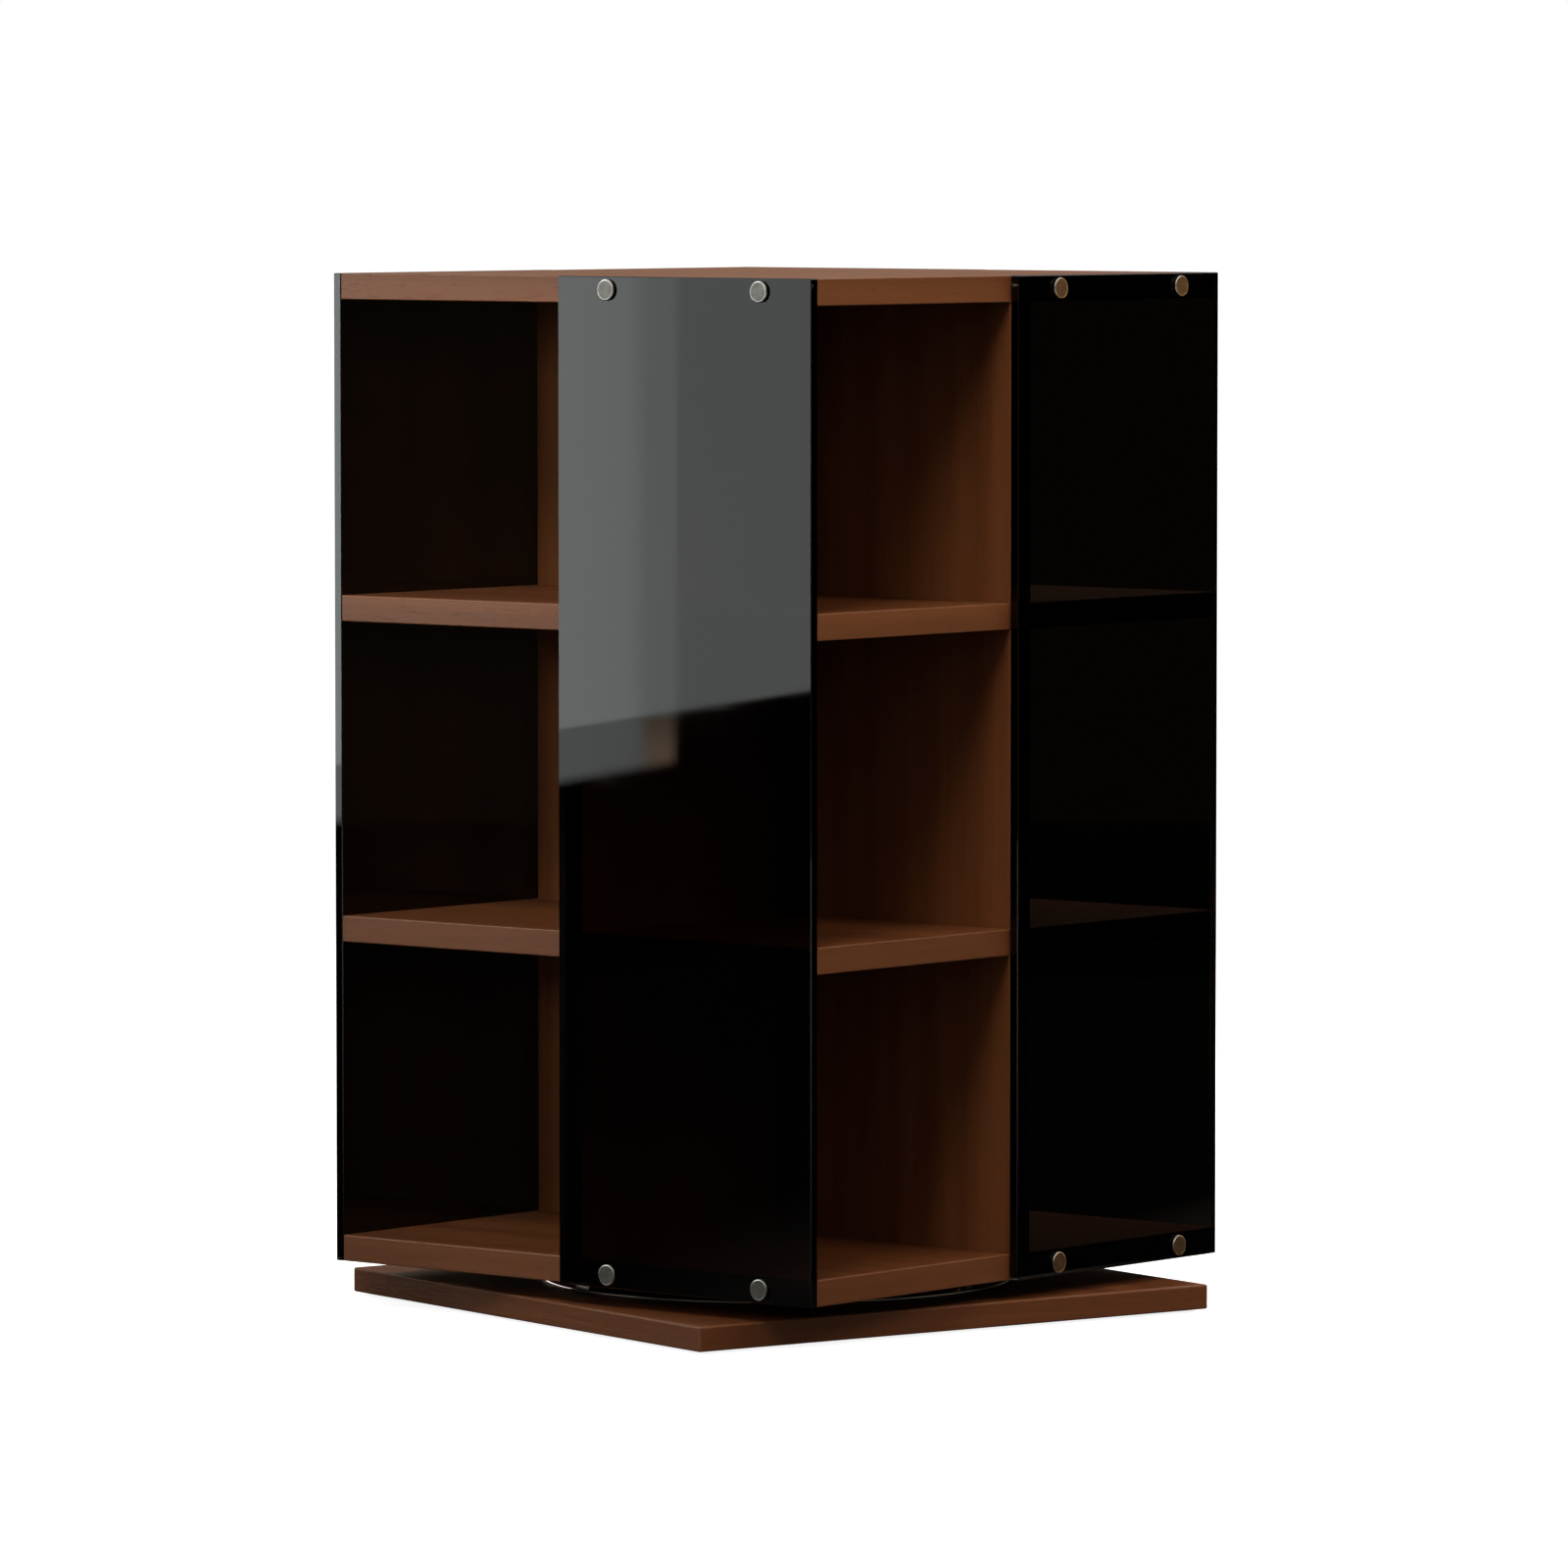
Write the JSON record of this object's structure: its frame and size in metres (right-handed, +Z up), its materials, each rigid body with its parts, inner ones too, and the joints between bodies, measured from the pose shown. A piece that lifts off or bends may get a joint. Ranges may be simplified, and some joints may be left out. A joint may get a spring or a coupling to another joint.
{
  "type": "rotating disc rack",
  "caption": "Square wooden media tower that turns on a ring bearing over a square base, with open bays in a pinwheel and tall tinted side panels.",
  "frame": {"origin": "on the floor under the tower's turning axis, at the centre of the base", "axes": "+Z up along the turning axis; the tower's faces look along +X, -X, +Y and -Y; the front face of the record, with its bays at the left and its panel at the right, looks along -Y"},
  "size_m": [0.367, 0.367, 0.5034],
  "materials": {
    "wood": "satin walnut veneer",
    "smoked_panel": "polished smoked acrylic",
    "cap_metal": "satin nickel",
    "steel": "zinc plated",
    "ball_steel": "polished",
    "nylon": "natural nylon",
    "pad": "matt",
    "dowel": "bare beech"
  },
  "bodies": {
    "base": {"base_board": "wood", "base_pads": "pad", "turntable_outer_ring": "steel", "outer_ring_screws": "steel"},
    "ball_cage": {"turntable_ball_cage": "nylon", "turntable_balls": "ball_steel"},
    "tower": {"turntable_inner_ring": "steel", "inner_ring_screws": "steel", "bottom_board": "wood", "bottom_board_dowels": "dowel", "lower_shelf": "wood", "lower_shelf_dowels": "dowel", "upper_shelf": "wood", "upper_shelf_dowels": "dowel", "top_board": "wood", "top_board_dowels": "dowel", "bottom_tier_divider_left_right": "wood", "bottom_tier_divider_front_back": "wood", "middle_tier_divider_left_right": "wood", "middle_tier_divider_front_back": "wood", "top_tier_divider_left_right": "wood", "top_tier_divider_front_back": "wood", "front_panel": "smoked_panel", "front_panel_screws": "steel", "front_panel_caps": "cap_metal", "right_panel": "smoked_panel", "right_panel_screws": "steel", "right_panel_caps": "cap_metal", "back_panel": "smoked_panel", "back_panel_screws": "steel", "back_panel_caps": "cap_metal", "left_panel": "smoked_panel", "left_panel_screws": "steel", "left_panel_caps": "cap_metal"}
  },
  "joints": [
    {"name": "tower_turn", "type": "hinge", "parent": "base", "child": "tower", "pos_m": [0, 0, 0.023], "axis": [0, 0, 1], "continuous": true},
    {"name": "ball_cage_turn", "type": "hinge", "parent": "base", "child": "ball_cage", "pos_m": [0, 0, 0.0135], "axis": [0, 0, 1], "continuous": true}
  ],
  "couplings": [
    {"joint": "ball_cage_turn", "follows": "tower_turn", "ratio": 0.5}
  ]
}
